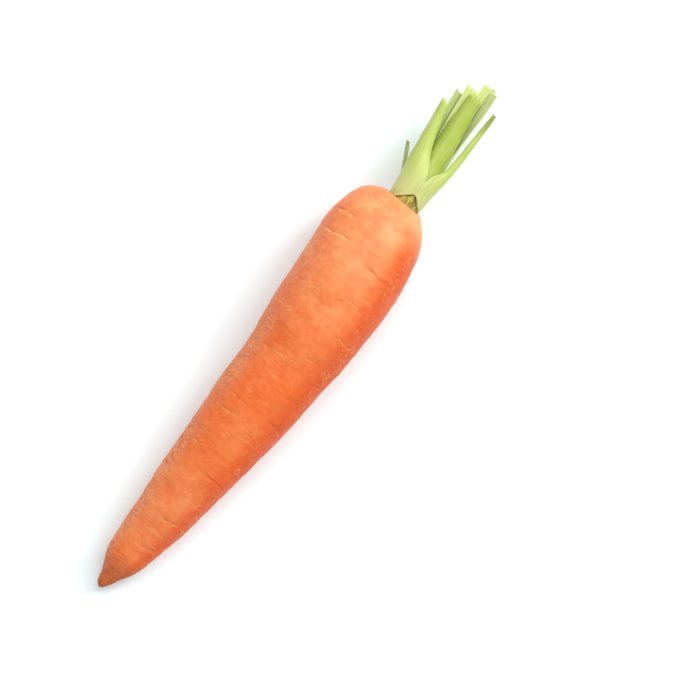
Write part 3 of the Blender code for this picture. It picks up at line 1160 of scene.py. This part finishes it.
class CARROT_OT_crown(bpy.types.Operator):
    """Models the stub in the crown's dish, and the old leaf bases inside the notch"""

    bl_idname = "carrot.crown"
    bl_label = "Crown"

    def execute(self, context):
        settings = context.scene.carrot_crown
        rings = [(CROWN + Vector((beyond * MM, 0, 0)), radius * MM) for beyond, radius in STUB_PROFILE]
        stub = tube("crown_stub", rings, STUB_SIDES, 0.0, (STUB_TOP - STUB_PROFILE[-1][0]) * MM)
        apply_modifier(stub, "SUBSURF", levels=3, render_levels=3)
        roughen(stub, size=0.0013, height=settings.relief, stretch=(6, 1, 1))
        roughen(stub, size=0.0004, height=settings.relief / 3, stretch=(6, 1, 1))
        finish_piece(stub, "stub", fibre_material("stub fibres", settings, on_strip=False))
        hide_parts("stem_stub")
        for number, base in enumerate(LEAF_BASES):
            self.leaf_base(number, base, settings)
        return {"FINISHED"}

    def leaf_base(self, number, base, settings):
        """One old leaf base: a thin scale that narrows to a torn point over the stub."""
        facing, arc, length, radius, far_radius = base
        sections = []
        for k in range(LEAF_BASE_RINGS + 1):
            share = k / LEAF_BASE_RINGS
            size = radius * (1 - 0.90 * share**1.1)
            reach = radius + (far_radius - radius) * share - size
            hub = CROWN + (facing_out(facing) * reach + Vector((-0.5 + (length + 0.7) * share, 0, 0))) * MM
            sections.append((hub, size * MM, math.radians(facing)))
        scale = rolled_strip(f"leaf_base_{number + 1}", arc, sections, ARC_STEPS, start=0.05 * number)
        thicken(scale, facing_out(facing), settings.base_wall, 0.5, 0.3)
        roughen(scale, size=0.0009, height=0.0004, stretch=(3, 1, 1))
        dry = shared_material(fibre_material, "leaf base fibres", settings, True)
        finish_piece(scale, "stub", dry, dry)


class CARROT_OT_side_stub(bpy.types.Operator):
    """Models what is left of a small leaf stalk at the side of the crown"""

    bl_idname = "carrot.side_stub"
    bl_label = "Side stub"

    def execute(self, context):
        settings = context.scene.carrot_stalks
        rings = []
        for k in range(SIDE_STUB_RINGS + 1):
            *place, radius = smooth_at(SIDE_STUB_PATH, k / SIDE_STUB_RINGS)
            rings.append((CROWN + Vector(place) * MM, radius * MM))
        stub = tube("side_stub_skin", rings, SIDE_STUB_SIDES, 0.0, 0.1 * MM)
        apply_modifier(stub, "SUBSURF", levels=2, render_levels=2)
        roughen(stub, size=0.0012, height=0.00035, stretch=(5, 1, 1))
        finish_piece(stub, "pale_stalk", withered_material(settings, context.scene.carrot_crown))
        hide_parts("side_stub")
        return {"FINISHED"}


class CARROT_OT_stage(bpy.types.Operator):
    """Sets the pale floor, the soft lights and the camera overhead"""

    bl_idname = "carrot.stage"
    bl_label = "Stage"

    def execute(self, context):
        settings = context.scene.carrot_stage
        deselect_all()
        bpy.ops.mesh.primitive_plane_add(size=FLOOR_SIZE, location=(0, 0, -FLOOR_GAP))
        floor = name_new("floor")
        floor.data.materials.append(floor_material(settings.floor))

        sky = bpy.data.worlds.new("soft sky")
        sky.use_nodes = True
        fill_inputs(sky.node_tree.nodes["Background"], Color=(1.0, 1.0, 1.0), Strength=settings.sky)
        context.scene.world = sky
        context.scene.view_settings.view_transform = "Standard"

        middle = from_tip(*VIEW_MIDDLE)
        self.add_softbox("overhead", middle, Vector((0.55, 0.20, 1.15)), 1.0, settings.overhead)
        self.add_softbox("side", middle, Vector((0.95, -0.38, 0.85)), 0.5, settings.side)
        self.add_camera(context, middle, settings)
        return {"FINISHED"}

    def add_softbox(self, name, middle, offset, size, power):
        turn = offset.to_track_quat("Z", "Y").to_euler()
        bpy.ops.object.light_add(type="AREA", location=middle + offset, rotation=turn)
        light = bpy.context.active_object
        light.name = name
        light.data.size = size
        light.data.energy = power

    def add_camera(self, context, middle, settings):
        """A camera straight above, turned so that the carrot lies across the view."""
        place = middle + Vector((0, 0, settings.view_width * settings.lens / SENSOR_WIDTH))
        bpy.ops.object.camera_add(location=place, rotation=(0, 0, -settings.roll))
        camera = bpy.context.active_object
        camera.data.sensor_width = SENSOR_WIDTH
        camera.data.lens = settings.lens
        camera.data.clip_start = 0.01
        context.scene.camera = camera


# ---- the add-on


class CARROT_PT_panel(bpy.types.Panel):
    """Lists the pieces and their settings"""

    bl_idname = "CARROT_PT_panel"
    bl_label = "Trimmed Carrot"
    bl_space_type = "VIEW_3D"
    bl_region_type = "UI"
    bl_category = "Carrot"

    def draw(self, context):
        for holder, (kind, *operators) in SETTINGS.items():
            box = self.layout.box()
            settings = getattr(context.scene, holder)
            for name in settings.__annotations__:
                box.prop(settings, name)
            for operator in operators:
                box.operator(operator)


SETTINGS = {
    "carrot_root": (RootSettings, "carrot.taproot"),
    "carrot_stalks": (StalkSettings, "carrot.stalks", "carrot.side_stub"),
    "carrot_crown": (CrownSettings, "carrot.crown"),
    "carrot_stage": (StageSettings, "carrot.stage"),
}
CLASSES = (
    RootSettings,
    StalkSettings,
    CrownSettings,
    StageSettings,
    CARROT_OT_taproot,
    CARROT_OT_stalks,
    CARROT_OT_crown,
    CARROT_OT_side_stub,
    CARROT_OT_stage,
    CARROT_PT_panel,
)


def register():
    for item in CLASSES:
        bpy.utils.register_class(item)
    for name, (kind, *operators) in SETTINGS.items():
        setattr(bpy.types.Scene, name, PointerProperty(type=kind))


def unregister():
    for name in SETTINGS:
        delattr(bpy.types.Scene, name)
    for item in reversed(CLASSES):
        bpy.utils.unregister_class(item)


def main():
    register()
    bpy.ops.carrot.taproot()
    bpy.ops.carrot.stalks()
    bpy.ops.carrot.crown()
    bpy.ops.carrot.side_stub()
    bpy.ops.carrot.stage()


if __name__ == "__main__":
    main()
